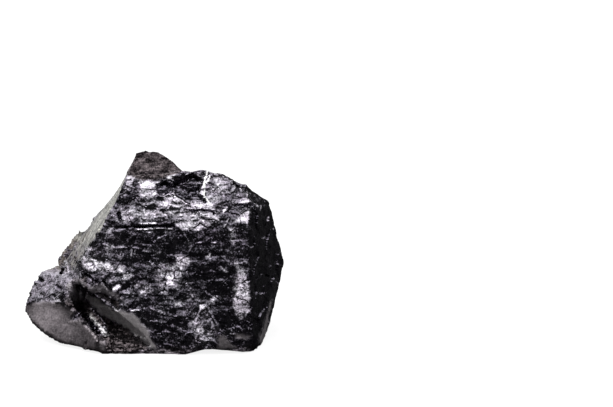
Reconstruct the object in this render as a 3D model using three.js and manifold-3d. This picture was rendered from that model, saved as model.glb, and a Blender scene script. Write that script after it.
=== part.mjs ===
// A broken lump of graphite, lying on the flat fracture it was cleaved from.
//
// Millimetres, +Z up. The broad layered face looks towards -Y and X runs along it.
// The corners below are measured from the middle of the broad face's foot, and the
// finished stone is then moved so that the origin is the middle of its footprint.
import * as THREE from "three";
import { ConvexGeometry } from "three/addons/geometries/ConvexGeometry.js";
import { mergeVertices } from "three/addons/utils/BufferGeometryUtils.js";
import Module from "manifold-3d";

const wasm = await Module();
wasm.setup();

// ---- driving dimensions -------------------------------------------------------

const MERGE_MM = 1e-4; // vertices closer than this are one
const CHIP_BLOCK_MM = 120; // side of the block that strikes a chip off
const SCALLOP_DETAIL = 5; // subdivisions of the ball that leaves a scalloped fracture

// The foot: the flat cleavage that the stone lies on.
const foot = [
  [-1.5, 0.4, 0],
  [10.5, 0.3, 0],
  [24.6, 1.6, 0],
  [26.8, 12, 0],
  [25.5, 31, 0],
  [9, 38, 0],
  [-12, 35, 0],
  [-21, 24, 0],
  [-13, 9, 0],
];

// The broad face, its left edge first, from the lip of the lower break to the shoulder.
const broadFace = [
  [-18.6, 6.6, 17.6],
  [-19.4, 6.8, 20.6],
  [-13.9, 8, 29.9],
  [-10.8, 10, 36.7],
  [-7.9, 13.2, 42.3],
  [-1, 0.2, 1.2],
  [10.3, 0, 1.4],
  [24.8, 1, 1.2],
  [-4, 5.4, 30.2],
  [17, 4.9, 30.6],
  [23.3, 6.2, 27],
  [-3, 9.2, 37],
  [18, 9, 37.2],
  [23.6, 10.2, 36.6],
];

// The crest along the top of the broad face, from left to right.
const crest = [
  [-6.5, 14.5, 43],
  [1.5, 15.5, 42.4],
  [6.4, 17.5, 42.9],
  [10.8, 16.6, 44.1],
  [16.4, 16, 42.9],
  [22.4, 17, 40.2],
  [28.3, 21.5, 34.3],
];

// The right-hand end, a steep fracture that swells at mid height.
const rightEnd = [
  [30.6, 23, 23.4],
  [31.9, 22.5, 18.5],
  [30.2, 18.5, 9.6],
  [28.4, 15, 6.2],
  [27.1, 12.4, 1],
  [30, 33, 14],
];

// The hidden back and the top behind the crest.
const back = [
  [-12, 36, 34],
  [7, 38, 34],
  [24, 33, 30],
  [14, 41, 19],
  [-8, 40.5, 22],
  [-21, 33, 18],
  [-24, 29, 8],
  [-25.5, 22, 18.5],
  [-17.5, 22.5, 28.3],
  [-11.9, 20.5, 36.6],
];

// The hump that stands up behind the left end of the crest.
const hump = [
  [-7.7, 25.5, 42.9],
  [-6.5, 29, 46.2],
  [-4.4, 30, 46.6],
  [-0.5, 30.2, 46],
  [2.8, 28.4, 44.2],
  [5.7, 26, 41.8],
  [8.5, 26.5, 38],
  [-11.5, 22, 36.5],
  [-8.5, 33.5, 42],
  [2, 34.5, 41],
  [-11, 35, 33],
  [6, 36, 33],
  [0, 26.5, 36],
];

// The inner layer whose corner shows past the left-hand side.
const backCorner = [
  [-22.6, 30, 25.3],
  [-18.6, 31, 25.5],
  [-27.3, 25, 18.8],
  [-16, 36, 20],
  [-27, 29, 8],
  [-14, 26, 16],
  [-23, 31, 0],
  [-14, 34, 0],
  [-21, 22, 0],
];

// The toe: the lower left lobe. Its top is rough, and its outer side is one smooth cleavage.
const toe = [
  [-34.4, 16.8, 9.6],
  [-35, 16.8, 7],
  [-32.6, 14.5, 4.4],
  [-24.8, 7.8, 1],
  [-22.5, 8.3, 12.5],
  [-33.4, 18, 12.2],
  [-30.9, 20, 16.6],
  [-27, 21, 17.9],
  [-22, 14, 16.6],
  [-22.5, 27, 15],
  [-22, 27, 1],
  [-30, 22, 5],
  [-22, 9, 2],
];

// The blade that the same cleavage leaves along the front of the break.
const blade = [
  [-22.5, 8.3, 12.5],
  [-20.6, 6.3, 9.9],
  [-14.2, 0.3, 4.3],
  [-15, 0.3, 1],
  [-18.1, 2.6, 0.5],
  [-24.8, 7.8, 1],
  [-24, 16, 8],
  [-22, 13, 3],
  [-14.5, 5, 0.6],
];

// The rough floor of the break, which joins the blade to the foot.
const breakFloor = [
  [-15, 0.6, 1],
  [-13.4, 0.9, 0],
  [-8.8, 0.4, 0],
  [1.5, 0.8, 0],
  [1.5, 1.6, 0.8],
  [-2.4, 0.9, 1.5],
  [-8.5, 1.3, 2.6],
  [-13.6, 1.3, 3.2],
  [-24, 16, 4],
  [-22, 26, 3],
  [-20, 28, 0],
  [1.5, 9, 0],
  [-12, 14, 1],
];

// The cleft that runs in under the broad face's lower left edge.
const cleft = [
  [-19.2, 7.2, 16.6],
  [-14.1, 5.5, 11.9],
  [-6.4, 2.8, 7.4],
  [-3.1, 1.7, 4.6],
  [-0.6, 0.9, 1.5],
  [-18, 17, 16],
  [-9, 13, 9],
  [-1.5, 8, 3],
  [-26, 14, 12],
  [-24, 10, 1],
  [-13, -1, -1],
  [-2, -1, -1],
  [-14, 18, -1],
  [-1, 8, -1],
];

// The splinter left standing in the break between the toe and the broad face.
const splinter = [
  [-17.1, 6.2, 10.4],
  [-16, 5.6, 10.6],
  [-12.6, 3.4, 4.6],
  [-13.9, 3.8, 4],
  [-12.4, 4.8, 6.6],
  [-14, 10, 3],
  [-12, 8, 1],
  [-15.5, 8, 2],
];

// Chips struck off, by one plane each: a point on the fracture and the way it faces.
const chips = [
  { at: [26.5, 9, 33.6], facing: [0.8, -0.35, 0.5] }, // shoulder at the right
  { at: [25.2, 2.4, 5], facing: [0.72, -0.66, -0.2] }, // heel at the right
  { at: [-9.5, 3.9, 9.6], facing: [-0.36, -0.92, -0.06] }, // lip of the break
];

// Scalloped fractures: the middle and the radii of the ball that each one follows.
const scallops = [
  { at: [17, 47, 38], radii: [15, 14, 12] }, // back, upper right
  { at: [-22, 45, 31], radii: [12, 12, 14] }, // back, left
  { at: [4, 49, 6], radii: [19, 13, 11] }, // back, low
  { at: [38, 34, 30], radii: [11, 14, 12] }, // right, towards the back
];

// ---- making -------------------------------------------------------------------

// A three.js geometry as a manifold-3d solid.
function solidOf(geometry) {
  const shape = geometry.clone();
  for (const name of ["normal", "uv"]) shape.deleteAttribute(name);
  const merged = mergeVertices(shape, MERGE_MM);
  return new wasm.Manifold(
    new wasm.Mesh({
      numProp: 3,
      vertProperties: merged.attributes.position.array,
      triVerts: new Uint32Array(merged.index.array),
    }),
  );
}

// The convex block that has these corners.
function block(...cornerLists) {
  const corners = cornerLists.flat().map((corner) => new THREE.Vector3(...corner));
  return solidOf(new ConvexGeometry(corners));
}

// Everything on the outer side of a flat fracture.
function chipOff({ at, facing }) {
  const box = new THREE.BoxGeometry(CHIP_BLOCK_MM, CHIP_BLOCK_MM, CHIP_BLOCK_MM);
  const outwards = new THREE.Vector3(...facing).normalize();
  const up = new THREE.Vector3(0, 0, 1);
  box.translate(0, 0, CHIP_BLOCK_MM / 2);
  box.applyQuaternion(new THREE.Quaternion().setFromUnitVectors(up, outwards));
  box.translate(...at);
  return solidOf(box);
}

// The ball whose surface a scalloped fracture follows.
function scallop({ at, radii }) {
  const ball = new THREE.IcosahedronGeometry(1, SCALLOP_DETAIL);
  ball.scale(...radii);
  ball.translate(...at);
  return solidOf(ball);
}

// A manifold-3d solid as a three.js geometry.
function geometryOf(solid) {
  const mesh = solid.getMesh();
  const geometry = new THREE.BufferGeometry();
  geometry.setAttribute("position", new THREE.BufferAttribute(mesh.vertProperties, mesh.numProp));
  geometry.setIndex(new THREE.BufferAttribute(mesh.triVerts, 1));
  return geometry;
}

// The main block, split and chipped, then its lobes, then the scallops over both.
function makeStone() {
  let stone = block(foot, broadFace, crest, rightEnd, back);
  for (const chip of chips) stone = stone.subtract(chipOff(chip));
  stone = stone.subtract(block(cleft));
  for (const lobe of [hump, backCorner, toe, blade, breakFloor, splinter]) stone = stone.add(block(lobe));
  for (const hollow of scallops) stone = stone.subtract(scallop(hollow));
  return stone;
}

const graphite = new THREE.MeshStandardMaterial({
  color: new THREE.Color(0.035, 0.033, 0.038),
  roughness: 0.35,
  metalness: 0.5,
});

const geometry = geometryOf(makeStone());
geometry.computeBoundingBox();
const { min, max } = geometry.boundingBox;
geometry.translate(-(min.x + max.x) / 2, -(min.y + max.y) / 2, -min.z);
geometry.computeVertexNormals();

const stone = new THREE.Mesh(geometry, graphite);
stone.name = "graphite_specimen";

const specimen = new THREE.Group();
specimen.add(stone);
export default specimen;
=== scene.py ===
"""A broken lump of layered graphite, lying on a pale studio floor.

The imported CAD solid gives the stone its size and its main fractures. Here a copy of that solid is
divided finely and the fracture surface is worked into it: flakes, ledges, cracks and the smooth
cleavages of the toe and the lip. The finish follows weights that are stored on the mesh.

Places on the broad side are given in millimetres on the front sheet: a flat sheet, square to the
line of sight, through the foot of the broad face. The first number of a place runs along the sheet
and the second runs up it.
"""

import math
from collections import namedtuple

import bmesh
import bpy
import numpy as np
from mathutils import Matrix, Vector, noise


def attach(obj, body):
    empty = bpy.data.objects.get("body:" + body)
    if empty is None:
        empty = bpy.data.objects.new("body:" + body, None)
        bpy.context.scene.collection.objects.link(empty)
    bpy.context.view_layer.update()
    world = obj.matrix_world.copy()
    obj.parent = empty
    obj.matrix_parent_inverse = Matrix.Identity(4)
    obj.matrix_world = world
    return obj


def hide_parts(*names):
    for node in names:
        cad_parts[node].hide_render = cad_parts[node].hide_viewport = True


bl_info = {
    "name": "Graphite specimen",
    "version": (1, 0, 0),
    "blender": (4, 5, 0),
    "location": "View3D > Sidebar > Graphite",
    "description": "Builds a layered, glittering lump of graphite and the studio that it lies in",
    "category": "Add Mesh",
}

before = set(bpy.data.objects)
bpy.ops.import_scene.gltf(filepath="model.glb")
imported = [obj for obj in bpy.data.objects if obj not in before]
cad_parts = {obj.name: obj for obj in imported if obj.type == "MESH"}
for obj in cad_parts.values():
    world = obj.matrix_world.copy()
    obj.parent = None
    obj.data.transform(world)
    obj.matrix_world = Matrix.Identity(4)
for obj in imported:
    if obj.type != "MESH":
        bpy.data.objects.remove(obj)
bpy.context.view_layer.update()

NODE = "graphite_specimen"
PIECE = "graphite_stone"
MM = 0.001
WELD = 1e-6  # corners closer than this are one
SEED = 4  # of the warp that makes outlines ragged
HALF = (0.5, 0.5, 0.5)  # the middle of noise in three directions
LONG_AXIS, BACK_AXIS, UP_AXIS = range(3)  # along the stone, towards its back and up
GROUNDED = 0.0006  # corners lower than this keep their height when the surface moves
SHARP_EDGE = math.radians(38.0)  # from this angle on, an edge is not smoothed over

# ---- the line of sight ----

LENS_MM = 100.0
NEAREST_SEEN = 0.01
SIGHT_ELEVATION = math.radians(12.0)
SIGHT_DISTANCE = 0.4257
AIM = Vector((0.03942, -0.01262, 0.03704))
SHEET_ORIGIN = -37.875  # mm from the line of sight, across and up alike

FORWARD = Vector((0.0, math.cos(SIGHT_ELEVATION), -math.sin(SIGHT_ELEVATION)))
ACROSS = Vector((1.0, 0.0, 0.0))
UPWARD = ACROSS.cross(FORWARD)
VIEWPOINT = AIM - FORWARD * SIGHT_DISTANCE


def on_sheet(points):
    """Where points, in mm, fall on the front sheet: distances along it and up it, in mm."""
    rays = points - np.array(VIEWPOINT) / MM
    reach = SIGHT_DISTANCE / MM / (rays @ np.array(FORWARD))
    along = rays @ np.array(ACROSS) * reach - SHEET_ORIGIN
    up = rays @ np.array(UPWARD) * reach - SHEET_ORIGIN
    return along, up


# ---- places on the broad side ----

Patch = namedtuple("Patch", "brightness outline")
Line = namedtuple("Line", "brightness half_width height path")
Crack = namedtuple("Crack", "depth half_width path")
Hollow = namedtuple("Hollow", "depth outline")
Satin = namedtuple("Satin", "share dust outline")
Swelling = namedtuple("Swelling", "height reach middle")

# Broad zones and how much light their flakes catch: 0 in the dark ones and up to 1. Below 0 they lean
# away from the light. The same number also paints their mirror colour, lighter in bright zones and
# darker in dark ones: painted highlight and painted shade. Later zones lie over earlier ones.
TONES = {
    "upper_left": Patch(0.1, [(-12, 36.4), (-8, 45), (-4, 44.4), (-4, 37)]),
    "upper_right": Patch(0.22, [(18, 33), (18, 45), (23, 43), (25, 38), (24, 34)]),
    "upper": Patch(0.31, [
        (-12, 33), (-11, 36.4), (-4.4, 37), (-4, 46), (19, 46), (18, 40), (16, 32.5), (4, 33), (-4, 33),
    ]),
    "dark_band": Patch(0.02, [(-13, 26), (-11, 33), (4, 32.6), (19, 31), (19, 26), (9, 25), (-4, 26)]),
    "dish": Patch(0.14, [
        (4, 45), (10, 45.4), (11.5, 42), (12, 38.4), (8, 38.8), (5, 40.5), (0.5, 41), (0.5, 43),
    ]),
    "left": Patch(0.22, [(-20, 17), (-18, 27), (-9, 27), (-7, 22), (-4, 20), (-8, 17)]),
    "centre": Patch(0.2, [(-0.6, 15), (-0.3, 22), (4, 24.6), (7.6, 23.4), (6.8, 19), (5.8, 15)]),
    "right": Patch(0.13, [(19, 8), (19, 24), (23.6, 24), (24.2, 12), (22, 7.5)]),
    "right_dark": Patch(-0.1, [(8, 19.4), (8.6, 26), (18, 26), (19, 20), (17, 16), (11, 17)]),
    "low_right": Patch(-0.08, [(15.4, 2), (14.6, 9), (15, 16), (19, 18), (19.5, 8), (24, 7), (24, 2)]),
    "left_dark": Patch(-0.12, [(-7, 21), (-7.6, 25.6), (-1, 26), (-1, 21)]),
    "low_middle": Patch(0.18, [(8, 1.5), (8, 15), (15, 15), (15, 2)]),
    "ridge": Patch(0.24, [
        (9.8, 5), (10, 8.5), (11.4, 12), (13, 12), (15, 8.5), (16.3, 6), (15, 3), (12, 2),
    ]),
    "low_black": Patch(0.02, [(-1.5, 2), (-2, 10), (8, 9), (8, 2)]),
    "break_top": Patch(0.22, [(-22, 13), (-22, 19), (-17, 19.6), (-16, 16.4), (-18, 13)]),
    "toe_top": Patch(0.28, [(-33, 13.5), (-31, 20), (-24, 22), (-21.6, 20.6), (-22.8, 17), (-23, 13)]),
    "hump": Patch(0.2, [
        (-9, 44.2), (-5.6, 53), (9, 53), (8, 46.2), (5, 45.2), (3, 44.6), (1, 44), (-3.6, 43.6),
        (-6.8, 45),
    ]),
    # Painted shade: the right-hand end gets the darkest mirror colour, its flakes leaning away from
    # light.
    "far_right": Patch(-0.45, [(24.2, 0), (24.2, 36), (40, 36), (40, 0)]),
}

# Where the streaks run up the face instead of along it.
UPRIGHT = {
    "centre": [(-1, 14.5), (-1, 23.5), (6, 25.5), (9, 23), (8, 15)],
    "right": [(19, 8), (19.4, 24), (23.6, 24), (24.4, 12), (22, 7)],
    "low_middle": [(8.5, 1.5), (9, 13), (15, 13), (15, 2)],
}

# Patches whose flakes lean back and catch the light, with their mirror colour painted lighter as a
# painted highlight: brightness from 0 to 1, and the outline.
BRIGHT_PATCHES = {
    "cap": Patch(0.74, [(-4, 43.3), (1.3, 43.8), (0.2, 42.5), (0.1, 41.6), (-3.4, 41.8)]),
    "under_cap": Patch(0.62, [(-3.5, 42), (0.2, 42), (0.3, 40), (-1, 39), (-3.6, 39.6)]),
    "left_shoulder": Patch(0.45, [(-7, 45), (-5, 44.6), (-6, 42), (-7.4, 40), (-8, 41)]),
    "upper_streaks": Patch(0.6, [
        (2, 40.2), (4.5, 39.6), (6.5, 38.6), (8.6, 37.4), (9.4, 36.5), (5, 36.6), (1.6, 36.9),
        (0, 38.4),
    ]),
    "slab_lip": Patch(0.72, [(8.9, 38), (13.8, 38.2), (14.8, 37), (14.4, 36.2), (10, 36.4), (8.9, 37)]),
    "long_band": Patch(0.55, [
        (-3, 36), (2, 35.6), (5, 36.4), (10, 35.9), (14, 35.3), (16.2, 34.5), (15.6, 33.4), (9, 34.8),
        (2, 35), (-2.5, 35),
    ]),
    "low_band": Patch(0.55, [
        (5, 33.4), (9, 34.2), (12, 33.8), (14.5, 33.6), (13.4, 32), (10.6, 31), (7, 31.4), (5.2, 32),
    ]),
    "left_squiggle": Patch(0.48, [
        (-9, 36), (-5.4, 36.3), (-4.8, 34.6), (-6.8, 33.2), (-7.9, 33), (-8.2, 34.6),
    ]),
    "band_left_end": Patch(0.4, [(-4.8, 36), (-2, 35.8), (-1, 34), (-3.2, 33.4), (-4.6, 34.6)]),
    "crest_facet": Patch(0.58, [(14.9, 44.8), (17.3, 44.5), (17.4, 42.5), (15.4, 42.4), (14.7, 43.5)]),
    "crest_rose": Patch(0.5, [(13.4, 42), (17.5, 42.3), (18.6, 41.1), (15.5, 40.6), (13.2, 40.8)]),
    "crest_foot": Patch(0.45, [(12.8, 40.2), (15.2, 39.7), (17.2, 39.4), (15, 38.2), (13.4, 38)]),
    "vein_side": Patch(0.66, [(10.4, 42.4), (12.2, 42.4), (12.2, 40), (11, 40.2)]),
    "crest_glint": Patch(0.5, [(10, 43.6), (11.3, 44.4), (11.6, 42.9), (10.4, 42.7)]),
    "right_lens": Patch(0.86, [(20.7, 37.9), (22, 38.8), (23.7, 38.9), (24.6, 38.1), (23, 37.6)]),
    "right_triangle": Patch(0.85, [
        (24, 36.3), (22.4, 35.7), (20.7, 34.1), (19.6, 33.2), (21.5, 33.5), (23, 32.7), (23.6, 34.3),
    ]),
    "right_streak": Patch(0.55, [(18.4, 32), (19.7, 31.6), (20, 28.6), (19.6, 27.4), (19, 28.8)]),
    "left_ring": Patch(0.6, [(-17.5, 26.6), (-15.4, 26.5), (-14.9, 25.2), (-15.6, 26.0), (-17, 26.1)]),
    "left_cluster": Patch(0.72, [
        (-18, 24.6), (-15.4, 24.4), (-13, 23.2), (-10.7, 22.7), (-10, 20.6), (-12.5, 21.2),
        (-15.5, 20.9), (-18, 21.8),
    ]),
    "cluster_right": Patch(0.76, [(-9.9, 22.4), (-7.9, 22.4), (-7.9, 20.8), (-9.4, 20.9)]),
    "cluster_tail": Patch(0.6, [(-8, 20.6), (-5.2, 20.1), (-6.5, 18.9), (-8, 19)]),
    "break_spot": Patch(0.8, [(-11.2, 16.1), (-9.2, 17.6), (-8.6, 17.2), (-9.6, 15.9)]),
    "middle_top": Patch(0.6, [
        (5.1, 24.9), (7.4, 24.9), (9.5, 23.6), (7.6, 22.2), (6.4, 21.2), (5, 22.6),
    ]),
    "middle": Patch(0.4, [
        (0.6, 22.6), (3, 22.9), (5.4, 22.6), (7.2, 20.6), (6.2, 17), (3.2, 16.6), (2.8, 15.3),
        (1.7, 15.4), (0, 18.6),
    ]),
    "middle_glint": Patch(0.85, [(2.8, 20), (4.8, 19.8), (4.6, 17.9), (2.8, 18)]),
    "right_spot": Patch(0.8, [(12.4, 24.2), (13.6, 25.8), (14.2, 25.6), (13.9, 24.3)]),
    "grey_facet": Patch(0.45, [(16, 22.6), (17.8, 21.5), (19, 20.7), (17.4, 20)]),
    "edge_scar_top": Patch(0.5, [
        (19.8, 23.3), (21, 23.2), (22, 21.6), (22.4, 20.2), (21, 19.6), (20.2, 21.4),
    ]),
    "edge_scar": Patch(0.58, [
        (20.6, 20), (22.6, 20.6), (23.3, 17.6), (23.6, 15), (23.8, 12.6), (22.8, 11.6), (22, 9.6),
        (21.4, 8.9), (20, 10.5), (19.5, 13), (19.5, 17),
    ]),
    "edge_chip": Patch(0.6, [(22.7, 11.8), (23.7, 12), (23.6, 10.6), (22.8, 10)]),
    "low_left_spot": Patch(0.6, [(8.4, 8), (10, 9.2), (9.9, 7.4), (8.6, 7.3)]),
    "low_facet": Patch(0.6, [(10.2, 8), (11.6, 8), (12.3, 6.4), (11.8, 4.8), (10.4, 5)]),
    "low_cap": Patch(0.66, [(11.1, 12.3), (12.8, 12.6), (12.6, 11.6), (11.4, 11.2)]),
    "arrow": Patch(0.66, [(14, 12.9), (14.6, 14.5), (15.6, 14.8), (15, 13.2)]),
    "mid_spot": Patch(0.72, [(4.8, 12), (4.9, 12.9), (6.3, 13.2), (5.8, 12.3)]),
    "mid_dash": Patch(0.6, [(8.2, 13.9), (9.5, 15), (9.8, 14.4), (8.8, 13.9)]),
    "left_mottle": Patch(0.42, [(-13, 28.2), (-10, 27.6), (-10, 26), (-12.6, 26.4)]),
    "left_haze": Patch(0.38, [(-12.6, 31.6), (-10.4, 31.6), (-10.4, 29), (-12.8, 29)]),
    "low_dashes": Patch(0.5, [(-5, 17.6), (-1, 17.8), (-0.6, 16.8), (-4.8, 16.8)]),
    "lower_dashes": Patch(0.5, [(-4.2, 16.3), (-0.4, 16.1), (-0.6, 15.4), (-4, 15.4)]),
    "splinter_tip": Patch(0.85, [(-13.8, 6.9), (-12, 7), (-11.8, 4.4), (-13.4, 4.8)]),
    "splinter_face": Patch(0.3, [
        (-19.7, 11.2), (-18.7, 11), (-15.4, 9), (-13.1, 7.2), (-11.9, 7), (-11.9, 4.4), (-13.6, 4.7),
        (-17.4, 8.2), (-19.7, 10.3),
    ]),
}

# Thin bright ridges, veins and glints, with their mirror colour painted lighter as a painted highlight:
# brightness, half width, height and the path they follow.
BRIGHT_LINES = {
    "vein_and_glint": Line(0.85, 0.19, 0.12, [
        (13.1, 45.8), (12.6, 44.5), (12.3, 42.8), (12.4, 41.2), (12.2, 39.8), (12.9, 38.8),
        (13.3, 38.2),
    ]),
    "vein_branch": Line(0.9, 0.16, 0.08, [(12.5, 43), (13.5, 43.7), (13.7, 44.7)]),
    "slit_top": Line(0.85, 0.2, 0.2, [(-3.4, 32.75), (-1.4, 32.8), (0.2, 32.85)]),
    "slit_foot": Line(0.78, 0.2, 0.25, [(-4.2, 31.3), (-1, 31.45), (1.5, 31.55), (4.3, 31.4)]),
    "splinter_edge": Line(0.5, 0.17, 0.2, [(-19.5, 11.2), (-17, 8.8), (-14.4, 5.9)]),
    "splinter_bar": Line(0.62, 0.42, 0.35, [(-16.2, 9.9), (-13.8, 7.1), (-12.2, 4.9)]),
    "saddle_line": Line(0.5, 0.16, 0.1, [(3.6, 43.2), (6.4, 44.4), (9, 45.4)]),
    "saddle_line_2": Line(0.4, 0.13, 0.1, [(4.4, 42.5), (7.4, 43.5), (9.6, 44.2)]),
    "wave": Line(0.8, 0.2, 0.12, [(2, 40.6), (4, 40), (6, 38.9), (8, 37.7)]),
    "wave_2": Line(0.8, 0.19, 0.12, [(3.4, 41), (5, 40.2), (7, 39.2), (9, 38.2)]),
    "under_slit": Line(0.4, 0.14, 0.1, [(-3.6, 30.6), (0, 30.5), (2.6, 30.6)]),
    "thin_ledge": Line(0.3, 0.14, 0.15, [(-9, 27), (-7, 26.8), (-4, 26.6)]),
    "thin_ledge_2": Line(0.2, 0.14, 0.15, [(-4, 27.4), (-2, 27.4), (0.5, 27.5), (4, 27.9)]),
    "cross_ledge": Line(0.4, 0.15, 0.2, [(9.6, 28), (13, 28.1), (16.5, 28)]),
    "lightning": Line(0.3, 0.2, 0.1, [
        (5.6, 32), (7, 31), (7.4, 30), (8, 28.9), (9, 27), (8.7, 26), (8, 25),
    ]),
    "lightning_branch": Line(0.3, 0.16, 0.1, [(7.4, 29.6), (6, 29)]),
    "left_lightning": Line(0.32, 0.2, 0.1, [(-4.7, 31.2), (-5.3, 30), (-6.4, 28.8), (-7, 28)]),
    "left_stroke": Line(0.5, 0.22, 0.15, [(-5.9, 26), (-5.9, 24.6)]),
    "left_stroke_2": Line(0.45, 0.2, 0.15, [(-4.9, 26), (-5, 25)]),
    "dot": Line(0.36, 0.3, 0.15, [(-2.8, 25.9), (-1.9, 25.6)]),
    "dot_2": Line(0.45, 0.3, 0.15, [(0.2, 24.9), (1.2, 25.5)]),
    "tail_hook": Line(0.45, 0.16, 0.1, [(-4.4, 14), (-3.6, 12.4), (-2.5, 11.2)]),
    "tail_dash": Line(0.8, 0.2, 0.15, [(-6, 11), (-4.2, 11.2)]),
    "low_line": Line(0.35, 0.16, 0.15, [(-1, 11.6), (0.4, 11), (2, 10.4), (5, 9.6), (7, 10)]),
    "wavy_line": Line(0.4, 0.14, 0.15, [(0.8, 5.2), (2.6, 5.8), (4.4, 5.4), (5.6, 4.9)]),
    "ridge_left": Line(0.42, 0.3, 0.3, [(12.5, 12.4), (11.2, 10.6), (10.3, 8.4), (10, 6.2), (10.2, 3.4)]),
    "ridge_right": Line(0.28, 0.24, 0.2, [(12.8, 12.2), (14.1, 9.8), (15.5, 7.3), (15.9, 6.2)]),
    "ridge_stripe": Line(0.38, 0.4, 0.2, [(14.5, 7), (13.8, 5.4), (13, 3.8)]),
    "ridge_foot": Line(0.55, 0.5, 0.2, [(12.6, 3.4), (11.5, 3.8)]),
    "foot_crease": Line(0.42, 0.14, 0.1, [(16.4, 6.4), (17.4, 5.3), (20, 5.2)]),
    "chip_line": Line(0.35, 0.14, 0.1, [(23.4, 9.6), (24, 9), (23.2, 7.2), (23.5, 5.2)]),
    "side_glint": Line(0.9, 0.24, 0.1, [(26.3, 37.2), (26.1, 36)]),
    "side_glint_2": Line(0.7, 0.24, 0.1, [(25, 37.7), (25.6, 37.2)]),
    "side_glint_3": Line(0.6, 0.24, 0.1, [(28.4, 34.4), (28.3, 33.6)]),
    "side_glint_4": Line(0.5, 0.22, 0.1, [(29.6, 31.7), (29.6, 31.5)]),
    "side_glint_5": Line(0.5, 0.22, 0.1, [(29.2, 30.1), (29.1, 29.9)]),
    "crest_dot": Line(0.6, 0.22, 0.1, [(19.2, 43.5), (19.5, 43.1)]),
    "crest_dot_2": Line(0.8, 0.24, 0.1, [(21.4, 41.8), (21.6, 41.4)]),
    "crest_dot_3": Line(0.6, 0.2, 0.1, [(23.3, 40.8), (23.1, 39.6)]),
    "crest_dot_4": Line(0.55, 0.3, 0.1, [(20.2, 42.2), (19.4, 41)]),
    "right_stroke": Line(0.7, 0.24, 0.1, [(18, 36.9), (17, 35.6)]),
    "right_stroke_2": Line(0.85, 0.18, 0.1, [(18.2, 33.7), (17.9, 33.3)]),
    "right_stroke_3": Line(0.6, 0.18, 0.1, [(17.6, 32.6), (17.2, 31.9)]),
    "splinter_top": Line(0.6, 0.3, 0.1, [(-15.9, 10.2), (-15.4, 9.5)]),
    "break_glint": Line(0.7, 0.28, 0.1, [(-14.6, 4.8), (-14.4, 4.2)]),
    "toe_glint": Line(0.6, 0.22, 0.05, [(-19.9, 8.6), (-19.6, 8)]),
    "toe_glint_2": Line(0.6, 0.22, 0.05, [(-21.3, 5.2), (-21.2, 4.9)]),
    "toe_dash": Line(0.6, 0.22, 0.1, [(-25, 13.5), (-23.3, 13.3)]),
    "strip_glint": Line(0.5, 0.25, 0.1, [(-22.4, 23.4), (-21.8, 20.8)]),
    "hump_glint": Line(0.9, 0.3, 0.1, [(-4.1, 45.5), (-3.6, 45.9)]),
    "shoulder_glint": Line(0.6, 0.3, 0.1, [(-6.8, 44), (-6, 44.5)]),
    "saddle_glint": Line(0.6, 0.5, 0.1, [(3.4, 44.2), (4.6, 44.9)]),
}

# Dark grooves, cracks and holes, with their mirror colour painted darker as painted shade: depth, half
# width and the path they follow.
DARK_LINES = {
    "slit": Crack(0.9, 0.22, [(-8, 31.9), (-4, 32.0), (0, 32.2), (4.6, 32.1)]),
    "wave_groove": Crack(0.35, 0.12, [(2.6, 40.7), (4.6, 40), (6.6, 38.9), (8.6, 37.8)]),
    "splinter_shade": Crack(0.5, 0.22, [(-18, 9.6), (-15.4, 7.4), (-13.6, 5.8)]),
    "splinter_shade_2": Crack(0.5, 0.25, [(-15.2, 11), (-13, 8.4), (-11.4, 6.8)]),
    "foot_of_saddle": Crack(0.3, 0.13, [(5, 43), (8, 44.2), (10, 44.9)]),
    "middle_crack": Crack(0.25, 0.09, [(2.7, 20.4), (2.3, 18.6), (2.6, 17.4), (2.3, 16)]),
    "middle_crack_2": Crack(0.15, 0.08, [(5.1, 21), (4.7, 20), (4.9, 19)]),
    "squiggle_hole": Crack(0.7, 0.35, [(-9.2, 35.4), (-8.6, 33.5)]),
    "slab_shadow": Crack(0.5, 0.2, [(9, 36.2), (12, 36.2), (14.4, 35.9), (14.8, 35.2)]),
    "vein_notch": Crack(0.6, 0.3, [(12.3, 39), (12.5, 38.2)]),
    "lens_shadow": Crack(0.5, 0.18, [(20.4, 37.5), (24.6, 37.5)]),
    "break_crack": Crack(0.9, 0.3, [(-17.4, 20.2), (-15.6, 18.8), (-14.6, 18.2)]),
    "break_crack_2": Crack(0.9, 0.28, [(-13, 18.6), (-12, 17.2), (-11, 16.2)]),
    "strip_hole": Crack(0.8, 0.26, [(-23.5, 20.6), (-23.1, 21.4)]),
    "blade_edge": Crack(0.1, 0.5, [(-20.4, 11.8), (-18.6, 9.2), (-15, 5.9), (-12.3, 3.2)]),
    "toe_chip": Crack(0.5, 0.2, [(-17.2, 3), (-17.4, 2)]),
    "toe_pit": Crack(0.4, 0.5, [(-29.3, 18.9), (-28.4, 18.5)]),
    "toe_pit_2": Crack(0.3, 0.4, [(-31.8, 13.6), (-31.2, 14.8)]),
    "toe_pit_3": Crack(0.3, 0.35, [(-24.6, 17.2), (-23.6, 16.4)]),
}

# Hollows with an outline, with their mirror colour painted darker as painted shade: depth and the
# outline.
HOLLOWS = {
    "lip_hollow": Hollow(1.5, [
        (-15.2, 15), (-13, 15.2), (-11.4, 14), (-9.4, 13), (-9.4, 11.6), (-11, 11.5), (-13.6, 12.8),
    ]),
    "cap_notch": Hollow(0.9, [(0.3, 42.6), (2.4, 43.4), (5, 42.2), (4, 40.6), (1.6, 40.2), (0.4, 41.4)]),
    "crest_dish": Hollow(0.7, [
        (5, 43.8), (9.8, 45.2), (11.8, 43.6), (11, 40), (12, 38.4), (7.5, 38.6), (5, 40.4),
    ]),
    "cap_pit": Hollow(0.5, [(0.4, 39.2), (1.8, 39.4), (1.8, 37.8), (0.6, 37.8)]),
    "tail_hole": Hollow(0.6, [(-8.2, 17.2), (-6.2, 17.4), (-6.2, 15.8), (-8, 15.8)]),
}

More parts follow.
